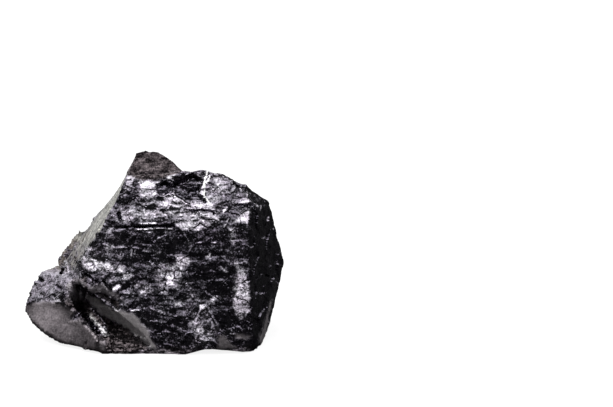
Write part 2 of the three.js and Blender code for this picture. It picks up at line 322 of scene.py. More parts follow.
# The smooth cleavages: how satin they are and how dusty, from 0 to 1, and the outline.
SATIN = {
    "toe": Satin(1.0, 0.0, [
        (-33, 12.4), (-30, 13.1), (-27, 13.5), (-24, 13.1), (-22, 12.6), (-20.2, 11.3), (-20.8, 8.6),
        (-18.8, 9), (-15, 5.6), (-13.2, 4), (-11.6, 2.8), (-11.6, 0), (-24, -1), (-34, 4),
    ]),
    "lip": Satin(1.0, 1.0, [
        (-17.6, 14.6), (-16.8, 15.4), (-14.4, 13.9), (-11.6, 11.9), (-9.4, 11.2), (-5.8, 10.4),
        (-4.2, 8.7), (-2.9, 7.1), (-1.7, 5.4), (-0.8, 3.8), (0.2, 1.8), (-1, 1.6), (-3, 3.4), (-5, 4.9),
        (-7.5, 6.6), (-10, 8.2), (-13, 10), (-15.6, 12.3),
    ]),
    "cleft_wall": Satin(0.65, 0.7, [
        (-22, 14), (-21.6, 18), (-19.6, 19), (-17.2, 18.4), (-17.6, 15.6), (-18.8, 13.6), (-20.4, 12.8),
    ]),
    "lip_top": Satin(0.6, 0.3, [
        (-17.2, 17.2), (-13, 17.7), (-11, 16.2), (-9.2, 14.8), (-8.2, 13.6), (-12.4, 15), (-16.8, 15.6),
    ]),
    "heel": Satin(1.0, 0.9, [
        (26, 3), (26.9, 6), (27.7, 10), (28.6, 13.2), (29.6, 13.8), (28.4, 9.5), (28, 5.5), (27.2, 3),
    ]),
    "foot_facet": Satin(1.0, 0.2, [(15.6, 1.4), (15.7, 4.9), (17.2, 4.8), (20.4, 1.7)]),
    "foot_ledge": Satin(1.0, 0.2, [(19.6, 5.3), (21.6, 5.5), (24.2, 4.4), (22.8, 3.9), (20.6, 4.2)]),
}

# The dark, rough break between the toe and the broad face.
RECESS = [
    (-22, 12.8), (-22, 17), (-20.6, 19), (-17.6, 19.4), (-16.6, 16.6), (-18, 13.8), (-15.8, 11.8),
    (-13.2, 9.8), (-10.2, 8), (-7.2, 6.5), (-5.2, 5.1), (-3.2, 3.6), (-1.2, 1.6), (-11.4, -1),
    (-12.4, 3), (-15, 5.6), (-18.8, 9), (-20.2, 11.4),
]

# The long side to the left of the broad face, whose thin layers run up it.
STRIP = [
    (-7, 45.6), (-7.4, 43), (-8.8, 39.6), (-10.8, 36), (-12, 33), (-14, 30.8), (-15.2, 29), (-17, 27.4),
    (-18.6, 24.8), (-19.6, 22.6), (-20, 21.4), (-24, 20.6), (-28, 21.6), (-27, 24), (-20, 36),
    (-10, 48),
]

# The corner behind that side.
BACK_CORNER = [(-29, 21.4), (-25, 27), (-21, 34), (-15, 34), (-16, 29), (-19.4, 25), (-20, 22), (-24, 21)]

# Swellings beyond the solid: height, reach and middle.
SWELLINGS = {
    "toe": Swelling(0.45, 15.0, (-30, 13)),
    "toe_edge": Swelling(1.0, 9.0, (-28, 4)),
    "cleft": Swelling(1.5, 5.0, (-19.6, 15.4)),
    "corner": Swelling(0.6, 2.6, (-24.2, 23.2)),
}

# The foot of the broad side, which stands a little clear of the ground at the right.
FOOT_LINE = [
    (-40, 0), (7, 0), (10.5, 0.9), (12.4, 1.4), (14.4, 1.5), (18, 1.2), (22, 0.8), (25, 0.9), (26, 1.5),
    (40, 1.5),
]

# ---- sizes and shares of the surface ----

# Rolling noise has a size in mm. A rise is 0 up to low and 1 from high, in mm along an axis.
Rolling = namedtuple("Rolling", "size octaves smoothness")
Rise = namedtuple("Rise", "axis low high raggedness")
Wave = namedtuple("Wave", "size height")

WAVES = Rolling(12.0, 2, 0.9)
DIMPLES = Rolling(2.8, 2, 0.9)
GRAIN = Rolling(0.9, 3, 0.8)
GAPS = Rolling(0.9, 2, 0.8)
RAGGEDNESS = Rolling(5.0, 4, 0.7)
CRUMBLING = Rolling(1.5, 3, 0.8)

# The noise at which each of these starts and at which it is full.
GAP_EDGE = (-0.25, 0.2)
STRIP_PATCHES = (-0.7, 0.3)
CRUMBLED_PATCHES = (-0.05, 0.25)
BRIGHT_SPOTS = (0.0, 0.5)

FOOT_TOP = Rise(UP_AXIS, 0.9, 2.4, 1.0)
STRIP_BEHIND = Rise(UP_AXIS, 15.0, 20.0, 2.0)
HUMP_TOP = Rise(UP_AXIS, 36.0, 41.0, 4.0)
HUMP_BACK = Rise(BACK_AXIS, 0.0, 5.0, 2.0)
RIGHT_END = Rise(LONG_AXIS, 16.0, 27.0, 4.0)

SEEN_EDGE = (-0.05, 0.12)  # how far a face turns to the line of sight where the broad side ends
LEFTWARD = (0.35, 0.6)  # how far a face turns left where the long side starts
CRUMBLED_UP = (30.0, 24.0)  # mm up the sheet, where the long side starts and ends crumbling
CRUMBLED_ALONG = (-26.5, -23.5)  # mm along the sheet, where it does so
CRUMBLED_LOSS = 0.85  # how much of the long side crumbles there
FOOT_RAGGEDNESS = 0.12
FOOT_CLEAR = 0.2  # mm, from which the foot stands clear of the ground

# How outlines and lines are drawn, in mm on the sheet.
OUTLINE_WARP = 1.3  # size of the waves in an outline
WARP_ALONG = 0.55
WARP_UP = 0.42
LINE_WARP = 0.35  # share of that warp which a line takes
LINE_FADE = (0.4, 1.6)  # from where to where a line fades out, in half widths
SOLID_LINE = 0.18  # half width from which a bright line is unbroken
FAINTEST = 0.15  # what is left of a thinner one in its gaps
# The splinter's edge that catches light is painted in the pale vein colour as a painted highlight.
SPLINTER_WIDTH = 0.4  # half width of the splinter's pale edge
SPLINTER_GLINT = 0.5

# Softness of the edges of patches, in mm.
TONE_EDGE = 1.3
BRIGHT_EDGE = 0.45
HOLLOW_EDGE = 0.5
SATIN_EDGE = 0.5
FINE_EDGE = 0.25
BREAK_EDGE = 0.4
STRIP_EDGE = 0.3
CORNER_EDGE = 1.2
BAND_EDGE = 1.2
UPRIGHT_EDGE = 0.8
TOE_TOP_EDGE = 1.0
UPPER_EDGE = 1.5

# How flakes, layers, ridges and rubble lie. The shifts keep kinds of relief apart.
PLATE_SHIFT = 3.1
FLAKE_SHIFT = 8.4
THICK_SHIFT = 0.0
THIN_SHIFT = 5.0
FLAKE_SQUEEZE = 0.8  # below 1, so flakes are longer along the stone
FLAKE_SCATTER = 91.0  # large, so that neighbours lean different ways
LONG_WAVE = Wave(9.0, 1.6)  # in a layer, in mm
SHORT_WAVE = Wave(2.1, 0.35)
LAYER_DIP = 0.05  # along the stone
LAYER_RUN = 7.0  # mm before a layer breaks off
RIDGE_SIZE = 5.2  # mm
RIDGE_LEAN = 0.9
RIDGE_FLATNESS = 2.4
RIDGE_DIP = 0.5
RIDGES = (0.9, 2.2, 4, 1.0, 2.0)  # smoothness, lacunarity, octaves, offset and gain
RIDGE_MIDDLE = 1.1  # of the noise, which is taken off
RUBBLE_SIZE = 1.9  # mm
RUBBLE = (0.9, 2.1, 4, 1.0, 2.0)
RUBBLE_MIDDLE = 1.2

# How far each kind of relief moves the surface: first as a share of its own size, then in mm.
PLATE_RELIEF = 0.17
FLAKE_RELIEF = 0.13
LAYER_RELIEF = 0.22
THIN_LAYER_RELIEF = 0.06
THIN_LAYER = 0.45  # thickness of a thin layer, as a share of a thick one
WAVE_RELIEF = 0.35
DIMPLE_RELIEF = 0.16
GRAIN_RELIEF = 0.035
RIDGE_RELIEF = 0.2
RECESS_RELIEF = 0.45
HUMP_RELIEF = 0.07
STRIP_SINK = 0.25
RELIEF_RANGE = (-2.6, 2.2)

# How much of the flakes and layers each kind of surface loses.
CALM = {"satin": 0.9, "dark": 0.55, "strip": 0.5, "toe_top": 0.6, "hump": 0.7}
UPRIGHT_LOSS = 0.8  # how much of the layers is lost where the streaks run up the face

# How far flakes face up, as the height of a unit normal: in the dark zones and in the brightest.
STEEP = 0.11
LEANING = 0.62
HIDDEN_LEAN = 0.55  # share of that lean which the other sides have
RECESS_LOSS = 0.6  # how much of it the rough break loses

PLAIN_SHEEN = 0.13  # between the zones
HOLLOW_LOSS = 0.5  # how much sheen a hollow loses
HIDDEN_SHEEN = 0.08
HIDDEN_SPOTS = 0.6  # sheen that the bright spots of the other sides add
# Painted shade: the hidden part of the right-hand end is painted as dark as the part that shows.
END_SHARE = 0.75  # how far the hidden part of the right-hand end goes as dark as the part that shows
FOOT_SHARE = 0.6  # how brown the foot is

STRIP_FACING = (-0.53, -0.77, 0.35)  # the way the thin layers of the long side face, on the whole
STRIP_SLOPE = math.radians(-60.0)  # of the threads along them

# ---- sizes in the finish ----

Texture = namedtuple("Texture", "scale detail roughness")  # noise, in cells per metre

MOTTLE = Texture(520.0, 4.0, 0.55)
STREAKS = Texture(800.0, 4.0, 0.65)
UPRIGHT_STREAKS = Texture(900.0, 4.0, 0.65)
GLINTS = Texture(2400.0, 2.0, 0.5)
CREASES = Texture(520.0, 4.0, 0.6)
UPRIGHT_CREASES = Texture(760.0, 4.0, 0.6)
SCRATCHES = Texture(2600.0, 4.0, 0.55)
THREADS = Texture(1900.0, 5.0, 0.7)
BRUSHING = Texture(1700.0, 5.0, 0.7)
GRIT = Texture(2200.0, 2.0, 0.6)
TINGE = Texture(300.0, 3.0, 0.55)
GRIME = Texture(330.0, 5.0, 0.65)
FACETS = 1100.0  # cells per metre

# The noise at which each pattern starts, and how fast it grows from there.
SHADE_SPREAD = (0.38, 4.2)
RUBBLE_SPREAD = (0.4, 4.5)
THREAD_SPREAD = (0.38, 4.5)
TINGE_SPREAD = (0.42, 5.0)
GRIME_START = 0.42
GRIME_GAIN = 5.0

# Scales of Mapping nodes, where a smaller number draws the pattern out.
ALONG_LAYERS = (0.85, 0.9, 1.0)
UP_THE_FACE = (1.0, 0.8, 0.42)
SCRATCH_STRETCH = (0.3, 0.3, 1.6)
BRUSH_STRETCH = (0.25, 0.5, 1.3)
THREAD_STRETCH = (9.0, 2.5, 1.0)  # of a texture mapping, where a larger number does

# How uneven the flakes are, as shifts of a unit normal.
SWIRL = 0.36
BRIGHT_SWIRL = 0.6  # more of it on bright flakes
FACET_SWIRL = 0.22  # share of it in the facets
GLINT_SWIRL = 0.8
GLINT_PEAK = 7.0  # how much further the strongest glints turn
SATIN_CALM = 0.85  # how much of the unevenness is lost on satin
STRIP_CALM = 0.5
UPRIGHT_CALM = 0.35
STANDING_SHARE = 0.3  # share of the streaks that run up the face
UPRIGHT_SHARE = 0.6  # how much more of them do where most streaks run up it
STRIP_EVENNESS = 0.7  # how far the long side faces one way

# The fine bump over that.
CREASE_SHARPNESS = 16.0
CREASE_SHARE = 0.5
LAYERED_CREASES = 0.5
SATIN_CREASE_LOSS = 0.9
SCRATCH_DEPTH = 0.00008
SCRATCH_SHARE = 0.3
BUMP_STRENGTH = 0.5

SHADE_MIX = (0.2, 0.35, 0.45)  # shares of the mottle, the brushing and the grit
RUBBLE_MIX = (0.55, 0.45)  # shares of the mottle and the grit

# Brightness in the darkest and in the lightest grain, as a share of the colour.
MIRROR_GRAIN = (0.2, 1.75)
PLAIN_GRAIN = (0.5, 1.5)
BROKEN_GRAIN = (0.25, 1.9)
THREAD_GRAIN = (0.4, 1.6)
THREAD_GAP = 0.22

# The long side is paler above this height, partly as painted reflection, and darker below it.
SIDE_DARKENS_BELOW = 0.027  # below this height the long side is grimy
SIDE_DARKENING = 110.0  # how fast it gets so, per metre

# From the weights to the brightness, the roughness and the metal of the flakes.
SHEEN_CONTRAST = 1.6
SHEEN_GAIN = 1.2
SHEEN_MOTTLE = 0.5
FLAKE_ROUGHNESS = 0.18
BRIGHT_ROUGHNESS = 0.1  # more of it on bright flakes
DULLNESS = (0.18, 0.2, 0.16, 0.16)  # and on satin, brown, the long side and the lighter mottle
EARTHY_SHARE = 0.9  # how far dust and the vein are not metal
REFRACTION = 2.0

# ---- the studio ----

FLOOR_REACH = 6.0
FLOOR_GLOW = 0.85  # share of the floor's look that is its own light
FLOOR_BOUNCE = 0.022  # share of the floor's colour that the stone gets back
KEY_PLACE = (-0.25, -0.3, 0.95)
KEY_SIZE = (0.5, 0.5)
KEY_TARGET = Vector((0.0, 0.0, 0.02))
SKY_START = math.sin(math.radians(-1))
SKY_FULL = math.sin(math.radians(84))
CARD_DIRECTION = Vector((-0.86, 0.34, 0.3)).normalized()
CARD_EDGE = (0.55, 0.86)  # cosines of the angles at which the card starts and is full
WHITE = (1.0, 1.0, 1.0, 1.0)


# ---- settings ----


def length(name, about, value):
    """A length setting, in metres."""
    return bpy.props.FloatProperty(
        name=name, description=about, default=value, min=0.0, unit="LENGTH", precision=5
    )


def tint(name, about, value):
    """A colour setting."""
    return bpy.props.FloatVectorProperty(
        name=name, description=about, default=value, size=3, min=0.0, max=1.0, subtype="COLOR"
    )


def amount(name, about, value):
    """A plain number setting."""
    return bpy.props.FloatProperty(name=name, description=about, default=value, min=0.0)


class GraphiteSurface(bpy.types.PropertyGroup):
    """Sizes of the fracture surface."""

    voxel: length("Voxel", "Size of the mesh faces, which are half this on the broad side", 0.00056)
    plate: length("Plate", "Size of the larger flakes", 0.0042)
    flake: length("Flake", "Size of the smaller flakes", 0.0016)
    layer: length("Layer", "Thickness of the thicker layers", 0.0014)
    ledge: length("Ledge", "Height of the steps between layers", 0.00032)


class GraphiteFinish(bpy.types.PropertyGroup):
    """Colours of the graphite."""

    # Lit and shaded copies of one mirror colour, mixed by the sheen: painted highlight and painted shade.
    lit_mirror: tint("Fresh", "Mirror colour of the brightest flakes", (0.49, 0.472, 0.51))
    shaded_mirror: tint("Deep", "Mirror colour of the darkest flakes", (0.081, 0.075, 0.092))
    plum: tint("Plum", "Tinge that comes and goes over the flakes", (1.0, 0.95, 1.0))
    satin: tint("Satin", "Mirror colour of the smooth cleavage of the toe", (0.165, 0.147, 0.157))
    dust: tint("Dust", "Body colour of the smooth cleavage of the lip", (0.26, 0.242, 0.25))
    # Brown of the rough breaks and the hump, also painted into the lip's hollow as painted shade.
    brown_and_shade: tint("Brown", "Mirror colour of the rough breaks", (0.064, 0.054, 0.057))
    # Long side: a paler mirror colour, partly painted reflection, and a darker one in patches and low
    # down.
    pale: tint("Pale", "Mirror colour of the long side at the left", (0.226, 0.222, 0.205))
    darker_side: tint("Grime", "Mirror colour of the long side where it is grimy", (0.075, 0.064, 0.058))
    # Pale vein, partly a painted glint along an edge, and the splinter's edge as a painted highlight.
    vein_and_glint: tint("Vein", "Colour of the pale vein and of the splinter's edge", (0.68, 0.67, 0.67))


class GraphiteStudio(bpy.types.PropertyGroup):
    """Floor and lights."""

    floor: tint("Floor", "Colour of the floor", (0.9, 0.9, 0.9))
    backdrop: tint("Backdrop", "Colour seen beyond the floor", (1.0, 1.0, 1.0))
    overhead: amount("Overhead", "Brightness of the studio right overhead", 2.7)
    card: amount("Card", "Brightness of the card at the left", 1.5)
    fill: amount("Fill", "Brightness of the rest of the studio", 0.003)
    key: amount("Key", "Power of the light over the stone, in watts", 2.0)


# ---- fields over the surface ----


def smooth_step(low, high, value):
    """0 below low, 1 above high, and a smooth rise between."""
    share = np.clip((value - low) / (high - low), 0.0, 1.0)  # a low above high makes it a fall
    return share * share * (3.0 - 2.0 * share)


def line_distance(along, up, path):
    """Distance of each place from a path of points."""
    nearest = np.full(len(along), np.inf)
    for (x0, y0), (x1, y1) in zip(path, path[1:]):
        dx, dy = x1 - x0, y1 - y0
        share = np.clip(((along - x0) * dx + (up - y0) * dy) / (dx * dx + dy * dy), 0.0, 1.0)
        nearest = np.minimum(nearest, np.hypot(along - x0 - share * dx, up - y0 - share * dy))
    return nearest


def depth_inside(along, up, outline):
    """Distance of each place from an outline: above 0 inside it and below 0 outside it."""
    closed = outline + outline[:1]
    inside = np.zeros(len(along), bool)
    for (x0, y0), (x1, y1) in zip(closed, closed[1:]):
        if y0 != y1:
            crossing = x0 + (up - y0) / (y1 - y0) * (x1 - x0)
            inside ^= ((y0 > up) != (y1 > up)) & (along < crossing)
    nearest = line_distance(along, up, closed)
    return np.where(inside, nearest, -nearest)


def sampled(points, measure):
    """What measure gives at every point, as an array."""
    return np.array([measure(Vector(point)) for point in points])


def rolling(points, kind):
    """Rolling noise at every point, about -1 to 1."""
    return sampled(points, lambda p: noise.fractal(p / kind.size, kind.smoothness, 2.0, kind.octaves))


def flake_height(point, size, shift):
    """Height over a field of flat flakes, each tilted its own way, in flake sizes."""
    place = Vector((point.x * FLAKE_SQUEEZE, point.y, point.z)) / size
    place += Vector((shift, shift * 1.7, shift * 0.6))
    centre = noise.voronoi(place)[1][0]
    lean = noise.cell_vector(centre * FLAKE_SCATTER) - Vector(HALF)
    return (place - centre).dot(lean)


def layer_height(point, layer, shift):
    """Height of the broken layer under a point, from -0.5 to 0.5."""
    wander = noise.noise(point / LONG_WAVE.size + Vector((shift, 0.0, 0.0))) * LONG_WAVE.height
    wander += noise.noise(point / SHORT_WAVE.size) * SHORT_WAVE.height
    level = (point.z + LAYER_DIP * point.x + wander) / layer
    return noise.cell(Vector((point.x / LAYER_RUN + wander, point.y / LAYER_RUN, level + shift))) - 0.5


def ridge_height(point):
    """Height over a field of sharp ridges that run down to the right."""
    along = point.x + RIDGE_LEAN * point.z
    up = RIDGE_FLATNESS * point.z - RIDGE_DIP * point.x
    return noise.ridged_multi_fractal(Vector((along, point.y, up)) / RIDGE_SIZE, *RIDGES) - RIDGE_MIDDLE


def rubble_height(point):
    """Height over the rubble of a rough break."""
    return noise.ridged_multi_fractal(point / RUBBLE_SIZE, *RUBBLE) - RUBBLE_MIDDLE


class Surface:
    """The places, facings and weights of the stone's vertices, as arrays."""

    def __init__(self, bm):
        self.points = np.array([v.co / MM for v in bm.verts])
        self.facing = np.array([v.normal for v in bm.verts])
        self.along, self.up = on_sheet(self.points)
        rays = np.array(VIEWPOINT) / MM - self.points
        rays /= np.linalg.norm(rays, axis=1)[:, None]
        self.seen = smooth_step(*SEEN_EDGE, (self.facing * rays).sum(axis=1))
        self.hidden = 1.0 - self.seen
        warp = sampled(self.points, lambda p: noise.noise_vector(p / OUTLINE_WARP))
        self.warped_along = self.along + WARP_ALONG * warp[:, 0]
        self.warped_up = self.up + WARP_UP * warp[:, 2]
        self.unbroken = smooth_step(*GAP_EDGE, rolling(self.points, GAPS))
        self.ragged = rolling(self.points, RAGGEDNESS)

    def past(self, rise):
        """Weight of what lies past a rise, with a ragged edge."""
        place = self.points[:, rise.axis] + rise.raggedness * self.ragged
        return smooth_step(rise.low, rise.high, place)

    def lifts(self):
        """How far each vertex rises to clear the foot line, in mm."""
        clear = np.interp(self.along, *zip(*FOOT_LINE)) + FOOT_RAGGEDNESS * self.ragged
        return np.maximum(clear - self.up, 0.0) / math.cos(SIGHT_ELEVATION) * (clear > FOOT_CLEAR)

    def patch(self, outline, softness):
        """Weight of a patch with a ragged edge."""
        depth = depth_inside(self.warped_along, self.warped_up, outline)
        return smooth_step(-softness, softness, depth) * self.seen

    def line(self, path, half_width):
        """Weight of a line."""
        distance = line_distance(
            self.along + LINE_WARP * (self.warped_along - self.along),
            self.up + LINE_WARP * (self.warped_up - self.up),
            path,
        )
        return (1.0 - smooth_step(*LINE_FADE, distance / half_width)) * self.seen

    def bright_line(self, name):
        """Weight of one of the bright lines, unbroken."""
        return self.line(BRIGHT_LINES[name].path, BRIGHT_LINES[name].half_width)


# ---- the stone ----


def mesh_from(bm, name):
    """A new mesh with what a bmesh holds. The bmesh is freed."""
    mesh = bpy.data.meshes.new(name)
    bm.to_mesh(mesh)
    bm.free()
    return mesh


def placed(scene, name, data):
    """A new object in the scene."""
    new = bpy.data.objects.new(name, data)
    scene.collection.objects.link(new)
    return new


def faces_viewpoint(face):
    """Whether a face belongs to the broad side."""
    return face.normal.dot(VIEWPOINT - face.calc_center_median()) > 0.0


def fine_copy(context, voxel):
    """The CAD solid as one closed bmesh of even faces, twice as fine on the broad side."""
    bm = bmesh.new()
    bm.from_mesh(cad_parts[NODE].data)
    bmesh.ops.remove_doubles(bm, verts=bm.verts, dist=WELD)
    merged = mesh_from(bm, "merged")
    blank = placed(context.scene, "blank", merged)
    voxels = blank.modifiers.new("voxels", "REMESH")
    voxels.mode = "VOXEL"
    voxels.voxel_size = voxel
    even = bpy.data.meshes.new_from_object(blank.evaluated_get(context.evaluated_depsgraph_get()))
    bm = bmesh.new()
    bm.from_mesh(even)
    for mesh in (merged, even):  # the blank goes with its mesh
        bpy.data.meshes.remove(mesh)
    bm.normal_update()
    near = [edge for edge in bm.edges if any(faces_viewpoint(face) for face in edge.link_faces)]
    bmesh.ops.subdivide_edges(bm, edges=near, cuts=1, use_grid_fill=True)
    bmesh.ops.triangulate(bm, faces=bm.faces)
    bm.normal_update()
    return bm


def strip_weight(s):
    """Weight of the long side at the left and its corner, which crumbles at its lower end."""
    leftward = smooth_step(*LEFTWARD, -s.facing[:, LONG_AXIS])
    behind = s.hidden * leftward * s.past(STRIP_BEHIND)
    strip = np.maximum.reduce([
        s.patch(STRIP, STRIP_EDGE) * leftward,
        s.patch(BACK_CORNER, CORNER_EDGE),
        behind * smooth_step(*STRIP_PATCHES, s.ragged),
    ])
    strip *= 1.0 - s.bright_line("strip_glint")
    crumbled = smooth_step(*CRUMBLED_PATCHES, rolling(s.points, CRUMBLING))
    low_end = smooth_step(*CRUMBLED_UP, s.up) * smooth_step(*CRUMBLED_ALONG, s.along)
    return strip * (1.0 - CRUMBLED_LOSS * crumbled * low_end)


def zones_of(s):
    """Weights of the kinds of surface, by name: from 0 to 1 at each vertex."""
    satins = {name: satin.share * s.patch(satin.outline, SATIN_EDGE) for name, satin in SATIN.items()}
    lip_hollow = s.patch(HOLLOWS["lip_hollow"].outline, FINE_EDGE)
    splinter = s.patch(BRIGHT_PATCHES["splinter_face"].outline, FINE_EDGE)
    recess = s.patch(RECESS, BREAK_EDGE) * (1.0 - satins["cleft_wall"])
    hump = np.maximum(
        s.patch(TONES["hump"].outline, BREAK_EDGE),
        s.hidden * s.past(HUMP_TOP) * s.past(HUMP_BACK),
    )
    foot = FOOT_SHARE * s.seen * (1.0 - s.past(FOOT_TOP))
    dustiness = [SATIN[name].dust * weight for name, weight in satins.items()]
    return {
        "satin": np.max(list(satins.values()), axis=0) * (1.0 - lip_hollow) * (1.0 - recess),
        "dust": np.max(dustiness, axis=0) * (1.0 - recess),
        "recess": recess,
        "hump": hump,
        # Painted shade: the lip's hollow takes the dark brown colour of the breaks.
        "brown_and_shade": np.maximum.reduce([recess * (1.0 - splinter), hump, lip_hollow, foot]),
        "strip": strip_weight(s),
        "dark": s.patch(TONES["dark_band"].outline, BAND_EDGE),
        "upright": np.max([s.patch(outline, UPRIGHT_EDGE) for outline in UPRIGHT.values()], axis=0),
        "toe_top": s.patch(TONES["toe_top"].outline, TOE_TOP_EDGE),
        "end": END_SHARE * s.hidden * s.past(RIGHT_END),
    }


def broken_surface(s, zones, settings):
    """Height of the flakes, layers and breaks over the solid, in mm."""
    plate, flake = settings.plate / MM, settings.flake / MM
    layer, ledge = settings.layer / MM, settings.ledge / MM
    height = WAVE_RELIEF * rolling(s.points, WAVES)
    height += DIMPLE_RELIEF * rolling(s.points, DIMPLES) * (1.0 - zones["satin"])
    for swelling in SWELLINGS.values():
        along, up = swelling.middle
        near = smooth_step(swelling.reach, 0.0, np.hypot(s.along - along, s.up - up))
        height += swelling.height * near * s.seen

    plates = plate * PLATE_RELIEF * sampled(s.points, lambda p: flake_height(p, plate, PLATE_SHIFT))
    flakes = flake * FLAKE_RELIEF * sampled(s.points, lambda p: flake_height(p, flake, FLAKE_SHIFT))
    thick = ledge * LAYER_RELIEF * sampled(s.points, lambda p: layer_height(p, layer, THICK_SHIFT))
    layer *= THIN_LAYER
    thin = ledge * THIN_LAYER_RELIEF * sampled(s.points, lambda p: layer_height(p, layer, THIN_SHIFT))
    grain = GRAIN_RELIEF * rolling(s.points, GRAIN)
    calm = np.prod([1.0 - share * zones[name] for name, share in CALM.items()], axis=0)
    height += calm * (plates + flakes + (thick + thin) * (1.0 - UPRIGHT_LOSS * zones["upright"]) + grain)

    rubble = zones["recess"] * RECESS_RELIEF + zones["hump"] * HUMP_RELIEF
    height += rubble * sampled(s.points, rubble_height)
    upper = s.patch(TONES["upper"].outline, UPPER_EDGE) * (1.0 - zones["dark"])
    height += RIDGE_RELIEF * upper * sampled(s.points, ridge_height)
    return height - STRIP_SINK * zones["strip"]


def marks(s, zones):
    """Height of the single lines, cracks and hollows, in mm, and the sheen of the flakes."""
    height = np.zeros(len(s.points))
    sheen = np.full(len(s.points), PLAIN_SHEEN)
    for tone in TONES.values():
        sheen += s.patch(tone.outline, TONE_EDGE) * (tone.brightness - sheen)
    for bright in BRIGHT_PATCHES.values():
        sheen += s.patch(bright.outline, BRIGHT_EDGE) * np.maximum(bright.brightness - sheen, 0.0)
    for line in BRIGHT_LINES.values():
        weight = s.line(line.path, line.half_width)
        if line.half_width < SOLID_LINE:
            weight = weight * (FAINTEST + (1.0 - FAINTEST) * s.unbroken)
        sheen += weight * np.maximum(line.brightness - sheen, 0.0)
        height += line.height * weight
    for crack in DARK_LINES.values():
        weight = s.line(crack.path, crack.half_width)
        # Painted shade: a crack loses its sheen, so its mirror colour goes to the darkest.
        sheen *= 1.0 - weight
        height -= crack.depth * weight
    for hollow in HOLLOWS.values():
        weight = s.patch(hollow.outline, HOLLOW_EDGE)
        # Painted shade: a hollow loses some sheen, which darkens its mirror colour.
        sheen *= 1.0 - HOLLOW_LOSS * weight
        height -= hollow.depth * weight
    elsewhere = HIDDEN_SHEEN + HIDDEN_SPOTS * smooth_step(*BRIGHT_SPOTS, s.ragged)
    sheen += s.hidden * (elsewhere - sheen)
    # Painted shade carried over the hidden part of the right-hand end.
    sheen += zones["end"] * (TONES["far_right"].brightness - sheen)
    return height, sheen


def relief(s, settings):
    """How far each vertex moves out along its facing, in mm, and the weights of the finish."""
    zones = zones_of(s)
    height, sheen = marks(s, zones)
    height += broken_surface(s, zones, settings)
    tipped = STEEP + (LEANING - STEEP) * sheen - s.facing[:, UP_AXIS]
    share = HIDDEN_LEAN + (1.0 - HIDDEN_LEAN) * np.maximum(s.seen, zones["end"])
    flaky = (1.0 - zones["satin"]) * (1.0 - zones["strip"]) * (1.0 - RECESS_LOSS * zones["recess"])
    # Painted highlight: the splinter's edge that catches light takes the pale vein colour.
    splinter_edge = SPLINTER_GLINT * s.line(BRIGHT_LINES["splinter_bar"].path, SPLINTER_WIDTH)
    weights = {name: zones[name] for name in ("satin", "dust", "brown_and_shade", "strip", "upright")}
    weights["sheen"] = sheen
    weights["lean"] = tipped * share * flaky
    veins_and_glints = [s.bright_line("vein_and_glint"), s.bright_line("vein_branch"), splinter_edge]
    weights["vein_and_glint"] = np.maximum.reduce(veins_and_glints)
    return np.clip(height, *RELIEF_RANGE), weights


def store(mesh, name, values):
    """Keeps a weight for each vertex on the mesh."""
    attribute = mesh.attributes.new(name, "FLOAT", "POINT")
    attribute.data.foreach_set("value", np.asarray(values, np.float32))


class GRAPHITE_OT_stone(bpy.types.Operator):
    """Make the stone: the CAD solid, divided finely and given its fracture surface"""

    bl_idname = "graphite.stone"
    bl_label = "Stone"

    def execute(self, context):
        noise.seed_set(SEED)
        settings = context.scene.graphite_surface
        bm = fine_copy(context, settings.voxel)
        surface = Surface(bm)
        heights, weights = relief(surface, settings)
        for vertex, height, lift in zip(bm.verts, heights, surface.lifts()):
            move = vertex.normal * height * MM
            if vertex.co.z < GROUNDED:
                move.z = 0.0
            vertex.co += move
            vertex.co.z = max(vertex.co.z, 0.0) + lift * MM
        bm.normal_update()
        mesh = mesh_from(bm, PIECE)
        for name, values in weights.items():
            store(mesh, name, values)
        mesh.shade_smooth()
        mesh.set_sharp_from_angle(angle=SHARP_EDGE)
        mesh.materials.append(graphite_material(context.scene.graphite_finish))
        stone = placed(context.scene, PIECE, mesh)
        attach(stone, "root")
        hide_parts(NODE)
        return {"FINISHED"}


# ---- shader maths ----


class Socket:
    """A node's output that adds Math nodes when it is used in an expression."""

    def __init__(self, nodes, output):
        self.nodes = nodes
        self.output = output

    def math(self, operation, *others):
        inputs = dict(enumerate((self, *others)))
        return self.nodes.add("ShaderNodeMath", {"operation": operation}, inputs)

    def __add__(self, other):
        return self.math("ADD", other)

    __radd__ = __add__

    def __mul__(self, other):
        return self.math("MULTIPLY", other)

    __rmul__ = __mul__

    def __sub__(self, other):
        return self.math("SUBTRACT", other)

    def __rsub__(self, other):
        return (self * -1.0).math("ADD", other)

    def __pow__(self, other):
        return self.math("POWER", other)

    def clamped(self):
        """Held between 0 and 1."""
        return self.math("MAXIMUM", 0.0).math("MINIMUM", 1.0)

    def spread(self, low, gain):
        """0 up to low, and then a rise to 1."""
        return ((self - low) * gain).clamped()


